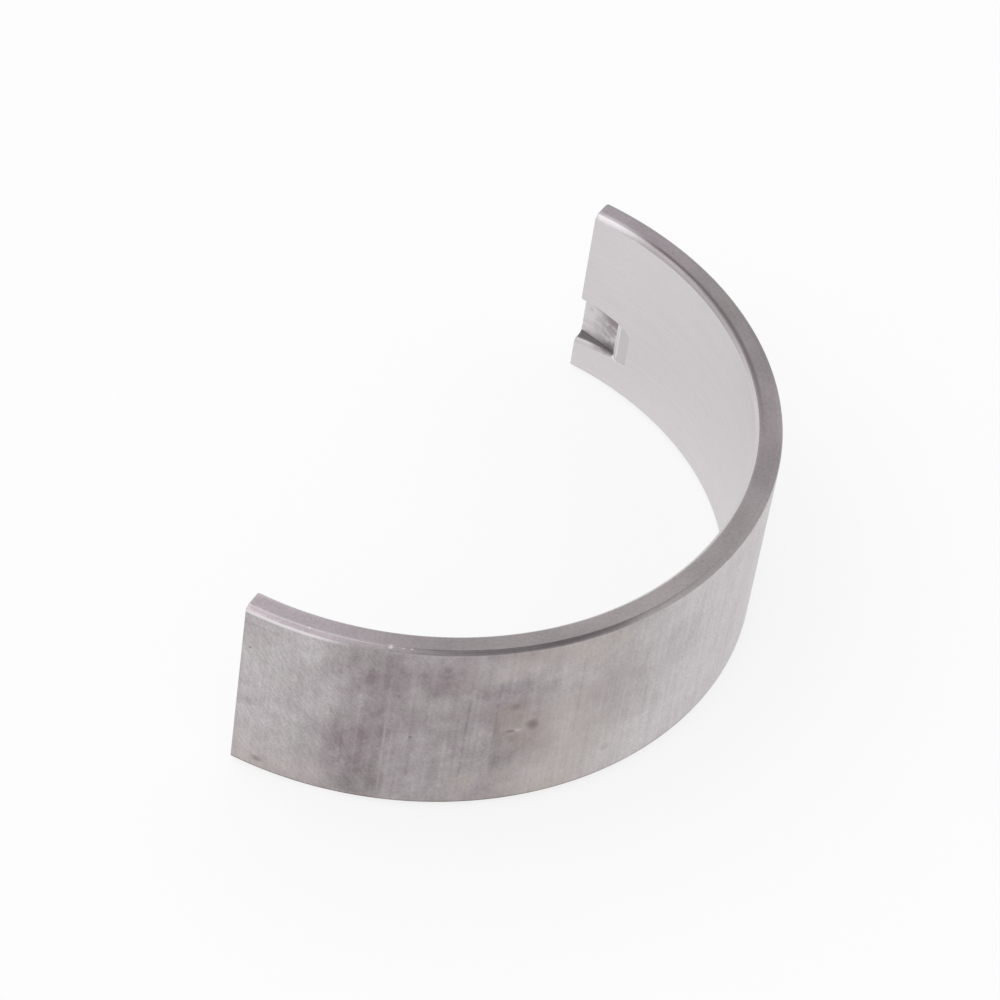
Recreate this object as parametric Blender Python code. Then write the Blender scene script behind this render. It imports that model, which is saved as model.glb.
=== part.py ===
"""Engine bearing shell: one half of a split plain bearing, sprung slightly open.

The shell is a single piece of lined steel strip, bent to a little less than a half
circle. Both side faces have chamfered edges. Near one parting face a locating tang is
pressed outwards, which leaves a recess of the same outline in the bore.

Frame: the journal's axis runs along Z. The shell stands on its lower side face at Z = 0,
its parting faces look towards -Y, its crown lies towards +Y and the tang is at the -X end.
The origin is the middle of the bounding box on the resting face. All sizes are in metres.
"""

import math

import bmesh
import bpy
from mathutils import Matrix, Vector

MM = 0.001

# Strip, as it lies in its housing
HOUSING_BORE = 61.0 * MM
WALL = 2.4 * MM
WIDTH = 19.0 * MM
CRUSH = 0.04 * MM

# How much wider the free shell springs open across its parting faces
FREE_SPREAD = 1.2 * MM

# Chamfers along both side faces
BACK_CHAMFER_RADIAL = 0.5 * MM
UPPER_BACK_CHAMFER_AXIAL = 0.25 * MM
LOWER_BACK_CHAMFER_AXIAL = 0.55 * MM
UPPER_BORE_CHAMFER = 0.45 * MM
LOWER_BORE_CHAMFER = 0.35 * MM

# Locating tang: its centre line above the lower side face, and its size on the back
TANG_CENTRE = 6.0 * MM
TANG_WIDTH = 4.6 * MM
TANG_LENGTH = 4.2 * MM
TANG_HEIGHT = 1.0 * MM
TANG_HEEL_HEIGHT = 0.3 * MM
TANG_RUN_OUT = 0.7 * MM
TANG_EDGE_BREAK = 0.2 * MM
TANG_SETBACK = 0.12 * MM
TANG_RELIEF_SIDE = 0.15 * MM

# Recess in the bore, left by the punch that presses the tang out
PUNCH_NOSE_WIDTH = 4.0 * MM
PUNCH_SHOULDER_LEAN = 0.3
PUNCH_SHOULDER_SHARE = 0.25
PUNCH_ROLL_LEAN = 0.9
HEEL_STEP = 0.4 * MM
HEEL_LAND = 1.2 * MM
HEEL_LAND_DEPTH = 0.06 * MM
HEEL_LAND_CORNER = 0.7 * MM

# Facets along the strip and along the tang, and the bend that counts as an edge
FACET_ANGLE = math.radians(1.25)
TANG_STATIONS = 7
SHARP_ANGLE = math.radians(12)

# How far a cutter or a trimmed end runs past the metal
OVERRUN = 1.5 * MM
CLEAR_OF_METAL = 0.3 * MM

# The strip keeps its length along the middle of its wall when it springs open
SEATED_MID_RADIUS = (HOUSING_BORE - WALL) / 2
STRIP_LENGTH = math.pi * SEATED_MID_RADIUS + 2 * CRUSH
BACK_RADIUS = (HOUSING_BORE + FREE_SPREAD) / 2
BORE_RADIUS = BACK_RADIUS - WALL
ARC = STRIP_LENGTH / (BACK_RADIUS - WALL / 2)

# Angles about the journal's axis, with the crown at a quarter turn
PLAIN_END = (math.pi - ARC) / 2
TANG_END = math.pi - PLAIN_END

# The journal's axis, placed so that the bounding box is centred on the origin
TANG_REACH = (BACK_RADIUS + TANG_HEIGHT) * math.cos(PLAIN_END)
PLAIN_REACH = BACK_RADIUS * math.cos(PLAIN_END)
JOURNAL_X = (TANG_REACH - PLAIN_REACH) / 2
JOURNAL_Y = -(BACK_RADIUS + BORE_RADIUS * math.sin(PLAIN_END)) / 2


def clear_scene():
    """Remove every object of the scene that the script starts in."""
    for obj in list(bpy.data.objects):
        bpy.data.objects.remove(obj, do_unlink=True)


def place(radius, angle, height):
    """A point given by its radius and angle about the journal's axis, and its height."""
    return Vector(
        (
            JOURNAL_X + radius * math.cos(angle),
            JOURNAL_Y + radius * math.sin(angle),
            height,
        )
    )


def along_strip(distance):
    """The angle of a place on the bore, a distance in from the tang's parting face."""
    return TANG_END - distance / BORE_RADIUS


def add_object(name, bm):
    """Link a bmesh as an object with its faces turned outwards."""
    bmesh.ops.recalc_face_normals(bm, faces=bm.faces[:])
    mesh = bpy.data.meshes.new(name)
    bm.to_mesh(mesh)
    bm.free()
    obj = bpy.data.objects.new(name, mesh)
    bpy.context.scene.collection.objects.link(obj)
    return obj


def shell_material():
    """Fine-ground bearing steel, a pale neutral grey."""
    material = bpy.data.materials.new("bearing_steel")
    material.use_nodes = True
    shader = material.node_tree.nodes["Principled BSDF"]
    shader.inputs["Base Color"].default_value = (0.56, 0.55, 0.56, 1.0)
    shader.inputs["Metallic"].default_value = 1.0
    shader.inputs["Roughness"].default_value = 0.38
    return material


def strip_section():
    """The strip's cross-section as (radius, height), with its four chamfers."""
    return [
        (BORE_RADIUS, LOWER_BORE_CHAMFER),
        (BORE_RADIUS + LOWER_BORE_CHAMFER, 0.0),
        (BACK_RADIUS - BACK_CHAMFER_RADIAL, 0.0),
        (BACK_RADIUS, LOWER_BACK_CHAMFER_AXIAL),
        (BACK_RADIUS, WIDTH - UPPER_BACK_CHAMFER_AXIAL),
        (BACK_RADIUS - BACK_CHAMFER_RADIAL, WIDTH),
        (BORE_RADIUS + UPPER_BORE_CHAMFER, WIDTH),
        (BORE_RADIUS, WIDTH - UPPER_BORE_CHAMFER),
    ]


def make_strip():
    """Spin the section round the journal's axis, past the tang's parting face."""
    bm = bmesh.new()
    corners = [bm.verts.new(place(r, PLAIN_END, z)) for r, z in strip_section()]
    section = bm.faces.new(corners)
    sweep = ARC + OVERRUN / BORE_RADIUS
    bmesh.ops.spin(
        bm,
        geom=[section],
        cent=(JOURNAL_X, JOURNAL_Y, 0.0),
        axis=(0.0, 0.0, 1.0),
        angle=sweep,
        steps=math.ceil(sweep / FACET_ANGLE),
        use_duplicate=False,
    )
    return add_object("bearing_shell", bm)


def loft(name, stations):
    """Join sections, each an angle and a closed loop of (radius, height), into a solid."""
    bm = bmesh.new()
    rings = []
    for angle, loop in stations:
        rings.append([bm.verts.new(place(r, angle, z)) for r, z in loop])
    for ring, following in zip(rings, rings[1:]):
        for i in range(len(ring)):
            j = (i + 1) % len(ring)
            bm.faces.new((ring[i], ring[j], following[j], following[i]))
    bm.faces.new(rings[0])
    bm.faces.new(rings[-1])
    return add_object(name, bm)


def pressed_height(distance):
    """How far the tang is pressed out, a distance in from the parting face."""
    fall = (TANG_HEIGHT - TANG_HEEL_HEIGHT) / TANG_LENGTH
    return TANG_HEIGHT - fall * distance


def tang_distances():
    """Evenly spaced stations from past the parting face to the tang's heel."""
    steps = [TANG_LENGTH * i / TANG_STATIONS for i in range(TANG_STATIONS + 1)]
    return [-OVERRUN] + steps


def tang_section(height):
    """Cross-section of the tang on the shell's back, rooted in the wall."""
    low = TANG_CENTRE - TANG_WIDTH / 2
    high = TANG_CENTRE + TANG_WIDTH / 2
    crest = BACK_RADIUS + height
    root = BACK_RADIUS - 2 * TANG_HEEL_HEIGHT - TANG_EDGE_BREAK
    return [
        (root, low),
        (root, high),
        (crest - TANG_EDGE_BREAK, high),
        (crest, high - TANG_EDGE_BREAK),
        (crest, low + TANG_EDGE_BREAK),
        (crest - TANG_EDGE_BREAK, low),
    ]


def make_tang():
    """The tang that stands out of the back and runs out behind its heel."""
    stations = [
        (along_strip(d), tang_section(pressed_height(d))) for d in tang_distances()
    ]
    sunk = along_strip(TANG_LENGTH + 2 * TANG_RUN_OUT)
    stations.append((sunk, tang_section(-TANG_HEEL_HEIGHT)))
    return loft("tang_form", stations)


def recess_section(depth, half):
    """Cross-section of the punch: flat nose, steep shoulders and a rolled-over brim."""
    shoulder = half + PUNCH_SHOULDER_LEAN * depth
    shoulder_depth = PUNCH_SHOULDER_SHARE * depth
    flare = (PUNCH_ROLL_LEAN - PUNCH_SHOULDER_LEAN) / PUNCH_SHOULDER_SHARE
    brim = shoulder + flare * (shoulder_depth + CLEAR_OF_METAL)
    side = [(half, depth), (shoulder, shoulder_depth), (brim, -CLEAR_OF_METAL)]
    upper = [(BORE_RADIUS + d, TANG_CENTRE + h) for h, d in side]
    lower = [(BORE_RADIUS + d, TANG_CENTRE - h) for h, d in side]
    return lower[::-1] + upper


def make_punch():
    """The punch that leaves the recess: sloping nose, stepped heel and shallow land."""
    half = PUNCH_NOSE_WIDTH / 2
    stations = [
        (along_strip(d), recess_section(pressed_height(d), half))
        for d in tang_distances()
    ]
    land_start = TANG_LENGTH + HEEL_STEP
    land_end = land_start + HEEL_LAND
    stations.append((along_strip(land_start), recess_section(HEEL_LAND_DEPTH, half)))
    corner = along_strip(land_end - HEEL_LAND_CORNER)
    stations.append((corner, recess_section(HEEL_LAND_DEPTH, half)))
    narrowed = half - HEEL_LAND_CORNER
    stations.append((along_strip(land_end), recess_section(HEEL_LAND_DEPTH, narrowed)))
    return loft("tang_punch", stations)


def make_end_block(name, setback, low, high):
    """A block past the tang's parting face, or set back from it, between two heights."""
    inner = BORE_RADIUS - OVERRUN
    outer = BACK_RADIUS + TANG_HEIGHT + OVERRUN
    depth = 3 * OVERRUN + setback
    bm = bmesh.new()
    bmesh.ops.create_cube(bm, size=1.0)
    bmesh.ops.scale(bm, vec=(outer - inner, depth, high - low), verts=bm.verts[:])
    shift = Vector(((inner + outer) / 2, depth / 2 - setback, (low + high) / 2))
    bmesh.ops.translate(bm, vec=shift, verts=bm.verts[:])
    turn = Matrix.Rotation(TANG_END, 4, "Z")
    axis = Matrix.Translation((JOURNAL_X, JOURNAL_Y, 0.0))
    bmesh.ops.transform(bm, matrix=axis @ turn, verts=bm.verts[:])
    return add_object(name, bm)


def combine(target, tool, operation):
    """Join or cut the target with a tool, then remove the tool."""
    modifier = target.modifiers.new(tool.name, "BOOLEAN")
    modifier.operation = operation
    modifier.solver = "EXACT"
    modifier.object = tool
    depsgraph = bpy.context.evaluated_depsgraph_get()
    target.data = bpy.data.meshes.new_from_object(target.evaluated_get(depsgraph))
    target.modifiers.clear()
    bpy.data.objects.remove(tool, do_unlink=True)


def smooth_round_faces(obj):
    """Shade round stretches smooth and keep the edges between them and flats sharp."""
    obj.data.shade_smooth()
    obj.data.set_sharp_from_angle(angle=SHARP_ANGLE)


def make_bearing_shell():
    """The whole shell: strip, pressed tang with its recess, and trimmed parting face."""
    shell = make_strip()
    shell.data.materials.append(shell_material())
    combine(shell, make_tang(), "UNION")
    combine(shell, make_punch(), "DIFFERENCE")
    parting = make_end_block("parting_cut", 0.0, -OVERRUN, WIDTH + OVERRUN)
    combine(shell, parting, "DIFFERENCE")
    half_relief = TANG_WIDTH / 2 + TANG_RELIEF_SIDE
    relief = make_end_block(
        "tang_relief", TANG_SETBACK, TANG_CENTRE - half_relief, TANG_CENTRE + half_relief
    )
    combine(shell, relief, "DIFFERENCE")
    smooth_round_faces(shell)
    return shell


def main():
    """Build the bearing shell in an empty scene."""
    clear_scene()
    make_bearing_shell()


if __name__ == "__main__":
    main()
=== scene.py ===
"""Engine bearing shell: its mesh, finishes, studio and camera, laid out as a Blender add-on.

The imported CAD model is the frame, in metres. The shell here has the same sizes as the CAD
node that it replaces, and adds what the solid leaves out: broken edges, the rolled brim of
the recess, a sheared face behind the tang, small nicks, and the finishes of the metal.
"""

import math
import random
from types import SimpleNamespace

import bmesh
import bpy
from bpy.props import (
    FloatProperty,
    FloatVectorProperty,
    IntProperty,
    PointerProperty,
)
from mathutils import Matrix, Vector


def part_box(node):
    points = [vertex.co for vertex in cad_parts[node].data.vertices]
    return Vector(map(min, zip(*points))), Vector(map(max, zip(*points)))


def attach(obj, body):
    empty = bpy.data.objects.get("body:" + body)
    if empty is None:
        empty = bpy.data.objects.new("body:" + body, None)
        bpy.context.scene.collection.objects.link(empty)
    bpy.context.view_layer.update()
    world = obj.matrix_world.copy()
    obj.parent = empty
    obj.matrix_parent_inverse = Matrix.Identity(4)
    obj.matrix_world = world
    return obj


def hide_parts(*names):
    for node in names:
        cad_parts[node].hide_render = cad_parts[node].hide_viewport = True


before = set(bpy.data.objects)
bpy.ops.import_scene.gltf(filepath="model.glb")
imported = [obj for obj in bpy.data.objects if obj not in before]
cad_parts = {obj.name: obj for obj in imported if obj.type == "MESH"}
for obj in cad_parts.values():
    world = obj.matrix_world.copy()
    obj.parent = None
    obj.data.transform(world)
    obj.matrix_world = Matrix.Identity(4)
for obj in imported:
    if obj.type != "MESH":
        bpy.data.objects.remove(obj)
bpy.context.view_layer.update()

bl_info = {
    "name": "Engine Bearing Shell",
    "version": (1, 0, 0),
    "blender": (4, 5, 0),
    "location": "3D Viewport > Sidebar > Bearing Shell",
    "description": "Builds one half of a split plain bearing with its locating tang",
    "category": "Add Mesh",
}

MM = 0.001
SHELL_NODE = "bearing_shell"

# Order of the finishes on the shell's mesh
LINING, SIDE, BACK, PARTING = range(4)

# Places of a Mix node's two colours among its inputs
MIX_A = 6
MIX_B = 7

# Bend between two faces that still counts as an edge, once the weighted normals are on
SHARP_ANGLE = math.radians(40)

# How far the punch stands clear of the bore, and how far cutters run past the metal
CLEAR_OF_METAL = 0.3 * MM
OVERRUN = 1.5 * MM

# The recess: lean of its steep shoulders, their share of the depth, lean of the brim
SHOULDER_LEAN = 0.3
SHOULDER_SHARE = 0.25
BRIM_LEAN = 0.9

# Roundings of the recess's floor and of its shoulders, as shares of its depth
FLOOR_ROUNDING = 0.22
SHOULDER_ROUNDING = 0.45

# How far before and past the heel and the land the recess's bends are eased, and how
# much deeper the land starts
BEFORE_HEEL = 0.12 * MM
PAST_HEEL = 0.04 * MM
BEFORE_LAND = 0.10 * MM
PAST_LAND = 0.12 * MM
LAND_START_EXTRA = 0.03 * MM

# Steps in the rounding of an edge, along the tang and along the recess, and cuts across
# the sheared face
ROUNDING_STEPS = 3
TANG_STEPS = 8
RECESS_STEPS = 10
SHEAR_CUTS = 22

# How far a point of the sheared face lies off its plane at most, in mm
SHEAR_SWING = 0.03

# Shapes of the nicks on the upper edges and at the tang's end: radially, along the strip
# and upwards, as shares of a nick's size
EDGE_NICK_SHAPE = (0.45, 1.0, 0.4)
END_NICK_SHAPE = (0.45, 0.6, 1.0)

# Half sizes of the bared metal round a nick on an upper edge, painted bright as a glint:
# along the arc, radially and upwards, as shares of the nick's size
BARED_GLINT_SHAPE = (0.55, 0.45, 0.5)

# Points closer together than this are merged, and shorter edges than this dissolved
MERGE_DISTANCE = 0.002 * MM
SHORTEST_EDGE = 0.001 * MM

# A face whose normal has more than this share along a direction faces that way
FACING = 0.6

# How far in the finish of a side face reaches, as a share of the bore chamfer, and that of
# a parting face, in set-backs of the tang
SIDE_REACH = 0.8
END_REACH = 3

# The middle of a noise pattern's range, which is spread to -1 to 1
NOISE_LOW = 0.3
NOISE_HIGH = 0.7

# A spot is full up to one share of its half size, and gone past the other
SPOT_CORE = 0.15
SPOT_RIM = 1.3

# Patterns swing the tarnish by their own swing, times its amount plus this
BARE_SPREAD = 0.7

# Share of plain white in what the camera and the metal see of the floor
WHITE_SHARE = 0.78

# Elevations at which the tent starts to dim towards its top, and is as dim as it gets
OPENING_STARTS = math.radians(50)
OPENING_FULL = math.radians(63)

# The camera's sensor, in mm, and the nearest thing that it sees, in metres
SENSOR_WIDTH = 36.0
NEAREST_SEEN = 0.01

# Nicks on the upper edges, as (angle in degrees, radius in mm, length in mm)
EDGE_NICKS = (
    (12.1, 30.66, 0.18),
    (24.8, 30.66, 0.46),
    (26.8, 30.70, 0.18),
    (28.1, 30.70, 0.20),
    (60.9, 31.02, 0.30),
    (66.0, 28.98, 0.26),
    (121.6, 28.92, 0.34),
    (131.0, 28.96, 0.22),
)

# Nicks where the tang's parting face meets the bore, as (height in mm, length in mm)
END_NICKS = (
    (17.4, 0.22),
    (16.3, 0.30),
    (15.4, 0.20),
    (14.5, 0.34),
    (13.7, 0.22),
    (12.8, 0.30),
    (11.7, 0.20),
    (10.6, 0.28),
    (7.2, 0.26),
    (5.6, 0.30),
)

# Marks on the back, as (angle in degrees, height in mm, half size along the arc and
# half size up the strip in mm, strength; a bright mark has a negative strength)
BACK_MARKS = (
    (48.6, 9.75, 0.62, 0.62, 0.50),
    (49.0, 9.30, 0.50, 0.45, 0.30),
    (45.6, 12.1, 0.45, 0.50, 0.30),
    (45.3, 9.1, 0.55, 0.22, 0.50),
    (46.4, 9.15, 0.40, 0.20, -0.26),
    (45.6, 8.2, 0.50, 0.55, 0.20),
    (43.0, 9.4, 0.30, 0.90, 0.20),
    (29.7, 8.7, 0.16, 0.16, 0.75),
    (34.0, 17.2, 0.50, 0.45, 0.30),
    (3.8, 8.2, 0.70, 0.65, 0.24),
    (3.2, 14.6, 0.16, 0.15, 0.60),
    (4.6, 17.4, 2.40, 0.13, 0.22),
    (6.2, 1.6, 0.60, 0.40, 0.45),
    (63.0, 3.7, 0.55, 0.60, 0.16),
    (90.5, 15.2, 0.22, 0.18, 0.35),
)

# Broken score lines across the back, as (angle in degrees, height of the middle in mm,
# half length in mm, strength; a bright line has a negative strength)
BACK_SCORES = (
    (4.6, 6.0, 5.0, -0.12),
    (6.8, 7.5, 4.5, -0.12),
    (19.3, 5.5, 6.5, 0.16),
    (21.4, 8.5, 5.0, -0.10),
    (25.7, 7.0, 9.0, -0.16),
    (26.8, 4.5, 5.0, -0.10),
    (32.6, 12.0, 5.0, 0.12),
    (35.4, 5.0, 5.0, 0.12),
    (38.1, 9.5, 9.5, 0.22),
    (40.6, 13.5, 5.0, 0.10),
    (42.6, 12.5, 7.0, 0.18),
    (44.0, 14.0, 6.0, 0.12),
    (46.8, 14.5, 5.0, 0.16),
    (51.5, 14.5, 4.5, 0.13),
    (54.0, 11.0, 6.0, -0.08),
    (56.1, 13.0, 8.0, 0.20),
    (61.2, 12.5, 5.0, 0.12),
    (64.8, 9.0, 7.0, -0.10),
    (69.5, 10.0, 7.0, 0.10),
    (74.0, 8.0, 8.0, -0.12),
    (79.0, 10.0, 7.0, 0.10),
    (85.0, 9.0, 8.0, -0.10),
)

# Half the width of a score line, in mm
SCORE_HALF = 0.15

# Broad stains on the back, in the same form as the marks, which add to the tarnish or
# thin it
BACK_STAINS = (
    (22.4, 2.4, 2.6, 2.8, 0.30),
    (19.6, 8.2, 1.9, 4.2, 0.17),
    (24.5, 16.6, 3.4, 2.8, 0.22),
    (33.6, 15.4, 2.2, 2.2, 0.26),
    (25.0, 11.6, 1.8, 2.6, 0.15),
    (23.6, 8.6, 2.0, 2.2, 0.14),
    (43.5, 2.8, 2.4, 2.6, -0.08),
    (30.5, 3.0, 2.0, 2.4, -0.08),
    (46.5, 11.5, 3.4, 3.4, 0.16),
    (48.5, 7.6, 2.2, 1.8, 0.12),
    (63.0, 12.6, 3.2, 3.0, 0.13),
    (77.0, 13.6, 3.2, 3.4, 0.14),
    (50.5, 16.6, 2.2, 1.8, -0.12),
    (12.3, 16.8, 1.8, 2.2, -0.14),
    (16.6, 11.4, 1.8, 3.0, -0.26),
    (43.5, 16.6, 3.0, 1.8, -0.26),
    (16.0, 1.8, 2.0, 1.6, -0.16),
    (61.5, 3.6, 8.4, 3.8, -0.28),
    (50.5, 3.0, 2.6, 2.4, -0.14),
    (5.0, 17.0, 3.6, 2.2, 0.12),
    (11.0, 2.6, 2.2, 2.0, -0.12),
    (30.0, 7.4, 1.8, 2.6, -0.16),
    (39.8, 8.6, 1.8, 2.8, -0.15),
    (44.6, 11.2, 1.6, 1.8, 0.12),
    (55.0, 8.0, 2.0, 2.2, -0.18),
)

# Tarnish along the back, from the plain end to the tang's, as (share of the half turn,
# amount)
TARNISH_ALONG = (
    (0.0, 0.26),
    (0.045, 0.30),
    (0.078, 0.42),
    (0.105, 0.68),
    (0.13, 0.71),
    (0.18, 0.61),
    (0.24, 0.74),
    (0.27, 0.60),
    (0.30, 0.38),
    (0.35, 0.32),
    (0.38, 0.24),
    (0.43, 0.06),
    (0.60, 0.06),
    (1.0, 0.28),
)

# The side faces along the strip in the same way, as (share of the half turn, tone,
# share of the olive film)
SIDE_ALONG = (
    (0.0, 1.07, 0.0),
    (0.085, 1.06, 0.0),
    (0.14, 0.78, 0.3),
    (0.22, 0.74, 0.65),
    (0.30, 0.82, 0.6),
    (0.38, 0.84, 0.8),
    (0.50, 0.76, 1.0),
    (0.60, 0.68, 0.1),
    (0.70, 0.69, 0.15),
    (0.82, 0.66, 0.7),
    (0.93, 0.76, 0.0),
    (1.0, 0.90, 0.0),
)


def linear(hex_colour):
    """An sRGB hex colour as linear red, green and blue."""
    parts = [int(hex_colour[i : i + 2], 16) / 255 for i in (1, 3, 5)]
    return tuple(
        c / 12.92 if c <= 0.04045 else ((c + 0.055) / 1.055) ** 2.4 for c in parts
    )


def length(name, description, millimetres):
    """A length property whose default is given in millimetres."""
    return FloatProperty(
        name=name,
        description=description,
        default=millimetres * MM,
        min=0.0,
        precision=5,
        unit="LENGTH",
        subtype="DISTANCE",
    )


def colour(name, description, hex_colour):
    """A colour property whose default is given as sRGB hex."""
    return FloatVectorProperty(
        name=name,
        description=description,
        default=linear(hex_colour),
        size=3,
        min=0.0,
        max=1.0,
        subtype="COLOR",
    )


def turn(name, description, degrees):
    """An angle property whose default is given in degrees."""
    return FloatProperty(
        name=name,
        description=description,
        default=math.radians(degrees),
        unit="ROTATION",
        subtype="ANGLE",
    )


class ShellSizes(bpy.types.PropertyGroup):
    """Sizes of the bearing shell."""

    housing_bore: length("Housing bore", "Bore that the back of the shell fits", 61.0)
    wall: length("Wall", "Thickness of the steel strip with its lining", 2.4)
    lining: length("Lining", "Thickness of the bonded lining", 0.3)
    crush: length("Crush", "How far each end stands proud in its housing", 0.04)
    free_spread: length("Free spread", "How much wider the free shell springs", 1.2)
    back_chamfer: length("Back chamfer", "Back chamfer, across the side face", 0.5)
    back_rise: length("Back chamfer rise", "Upper back chamfer, up the back", 0.25)
    lower_back_rise: length("Lower rise", "Lower back chamfer, up the back", 0.55)
    bore_chamfer: length("Bore chamfer", "Chamfer of the bore's upper edge", 0.45)
    lower_bore_chamfer: length("Lower chamfer", "Chamfer of the bore's lower edge", 0.35)
    edge_break: length("Edge break", "Rounding left on the edges", 0.06)
    plain_break: length("End break", "Rounding at the plain parting face", 0.09)
    back_corner: length("Back corner", "Rounding between chamfer and back", 0.14)
    tang_centre: length("Tang centre", "Height of the tang's centre line", 6.0)
    tang_width: length("Tang width", "Width of the tang on the back", 4.6)
    tang_length: length("Tang length", "Length of the tang along the strip", 4.2)
    tang_height: length("Tang height", "How far the tang stands out at its end", 1.0)
    tang_heel: length("Tang heel", "How far the tang stands out at its heel", 0.3)
    tang_run_out: length("Tang run-out", "Slope behind the tang's heel", 0.7)
    tang_corner: length("Tang corner", "Rounding along the tang's crest", 0.2)
    tang_setback: length("Tang setback", "Tang's end behind the parting face", 0.12)
    tang_relief: length("Tang relief", "Set-back face on each side of the tang", 0.15)
    nose_width: length("Nose width", "Width of the recess floor", 4.0)
    heel_step: length("Heel step", "Slope at the end of the recess", 0.4)
    heel_land: length("Heel land", "Length of the shallow land past the heel", 1.2)
    heel_depth: length("Land depth", "Depth of the shallow land", 0.06)
    heel_corner: length("Land corner", "Corner taken off the shallow land", 0.7)
    land_drop: length("Land drop", "How much lower than the floor the land reaches", 0.25)
    facet: turn("Facet", "Turn between two cross-sections of the strip", 0.75)


class ShellColours(bpy.types.PropertyGroup):
    """Colours of the bearing shell's metals."""

    lining: colour("Lining", "Bored tin-aluminium lining", "#D8D4D5")
    # Also painted shade along the recess floor's lower side
    recess_stain_and_shade: colour("Recess stain", "Oil baked into the recess", "#8B8083")
    # Painted shade for the recess's lower wall and the floor's lower corner
    recess_wall_shade: colour("Recess wall", "Dark torn metal of the lower wall", "#6A6568")
    # Also the colour of painted shade on the bore chamfer and the outer chamfer
    bond: colour("Bond line", "Edge of the lining on cut faces", "#6E6669")
    side: colour("Side faces", "Ground steel of the side faces", "#B4ABAF")
    side_film: colour("Side film", "Side faces under an olive film", "#B2ACAB")
    clean_back: colour("Clean back", "Steel of the back where it is clean", "#C9C4C5")
    tarnish: colour("Tarnish", "Purple-grey tarnish on the back", "#8E8488")
    olive: colour("Olive tint", "Warmer tint inside the tarnish", "#908988")
    straw: colour("Straw tint", "Warm straw film past the tarnish", "#B0A69C")
    # Also a painted shadow along the back's bottom edge
    mark: colour("Marks", "Dark stains and scratches", "#655B5A")
    # Also painted highlights on edges, on the recess's heel and round the nicks
    fresh_and_highlight: colour("Fresh metal", "Metal laid bare by rubs and nicks", "#EFECEE")
    parting: colour("Parting faces", "Broached steel of the parting faces", "#BDB7BA")


class StageSettings(bpy.types.PropertyGroup):
    """Floor, light and camera round the bearing shell."""

    floor_colour: colour("Floor", "Pale floor sweep", "#FEFDFF")
    tent_colour: colour("Tent", "Walls of the light tent", "#FFFEFF")
    opening_colour: colour("Opening", "Dim top of the tent", "#989699")
    floor_half: length("Floor half", "Half the side of the floor", 4000.0)
    floor_gap: length("Floor gap", "Gap under the shell", 0.03)
    panel_azimuth: turn("Panel azimuth", "Direction of the soft panel, from +X", -48.0)
    panel_elevation: turn("Panel elevation", "Height of the soft panel", 67.0)
    panel_distance: length("Panel distance", "Soft panel to shell", 620.0)
    panel_side: length("Panel side", "Side of the square soft panel", 600.0)
    panel_power: FloatProperty(
        name="Panel power",
        description="Power of the soft panel",
        default=0.9,
        min=0.0,
        unit="POWER",
    )
    camera_azimuth: turn("Camera azimuth", "Direction of the camera, from +X", 23.251)
    camera_elevation: turn("Camera elevation", "Height of the camera", 45.019)
    camera_roll: turn("Camera roll", "Turn of the camera about its view", 9.252)
    camera_distance: length("Camera distance", "Camera to the aim point", 372.677)
    aim: FloatVectorProperty(
        name="Aim",
        description="Place that the camera and the soft panel look at",
        default=(-0.223 * MM, -7.916 * MM, 9.5 * MM),
        size=3,
        precision=5,
        unit="LENGTH",
        subtype="TRANSLATION",
    )
    lens: FloatProperty(
        name="Lens",
        description="Focal length in millimetres on a 36 mm sensor",
        default=153.03,
        min=1.0,
        unit="CAMERA",
    )
    seed: IntProperty(name="Seed", description="Seed of the sheared face", default=7)


def strip_layout(sizes):
    """Radii and end angles of the free shell, and the journal's axis in the frame."""
    low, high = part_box(SHELL_NODE)
    seated_middle = (sizes.housing_bore - sizes.wall) / 2
    strip_length = math.pi * seated_middle + 2 * sizes.crush
    back = (sizes.housing_bore + sizes.free_spread) / 2
    arc = strip_length / (back - sizes.wall / 2)
    plain_end = (math.pi - arc) / 2
    return SimpleNamespace(
        back=back,
        bore=back - sizes.wall,
        width=high.z - low.z,
        arc=arc,
        plain_end=plain_end,
        tang_end=math.pi - plain_end,
        axis=Vector((high.x - back * math.cos(plain_end), high.y - back, low.z)),
    )


def turn_about_axis(bm, verts, angle):
    """Turn vertices about the journal's axis."""
    matrix = Matrix.Rotation(angle, 3, "Z")
    bmesh.ops.rotate(bm, verts=verts, cent=(0.0, 0.0, 0.0), matrix=matrix)


def add_section(bm, corners, angle):
    """A flat section at an angle, from (radius, height, rounding) for each corner."""
    known = set(bm.faces)
    verts = [bm.verts.new((radius, 0.0, height)) for radius, height, _ in corners]
    bm.faces.new(verts)
    for vert, (_, _, rounding) in zip(verts, corners):
        if rounding:
            bmesh.ops.bevel(
                bm,
                geom=[vert],
                offset=rounding,
                offset_type="OFFSET",
                segments=ROUNDING_STEPS,
                profile=0.5,
                affect="VERTICES",
                material=-1,
            )
    section = next(face for face in bm.faces if face not in known)
    turn_about_axis(bm, section.verts[:], angle)
    return section


def sweep_sections(bm, stations):
    """Join sections along the strip into a solid, from (angle, corners) for each."""
    sections = [add_section(bm, corners, angle) for angle, corners in stations]
    rings = [section.edges[:] for section in sections]
    bmesh.ops.delete(bm, geom=sections[1:-1], context="FACES_ONLY")
    for ring, following in zip(rings, rings[1:]):
        bmesh.ops.bridge_loops(bm, edges=ring + following)


def add_mesh_object(name, bm, layout):
    """Link a mesh made about the journal's axis as an object in the frame."""
    bmesh.ops.translate(bm, verts=bm.verts[:], vec=layout.axis)
    bmesh.ops.recalc_face_normals(bm, faces=bm.faces[:])
    mesh = bpy.data.meshes.new(name)
    bm.to_mesh(mesh)
    bm.free()
    obj = bpy.data.objects.new(name, mesh)
    bpy.context.scene.collection.objects.link(obj)
    return obj


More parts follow.
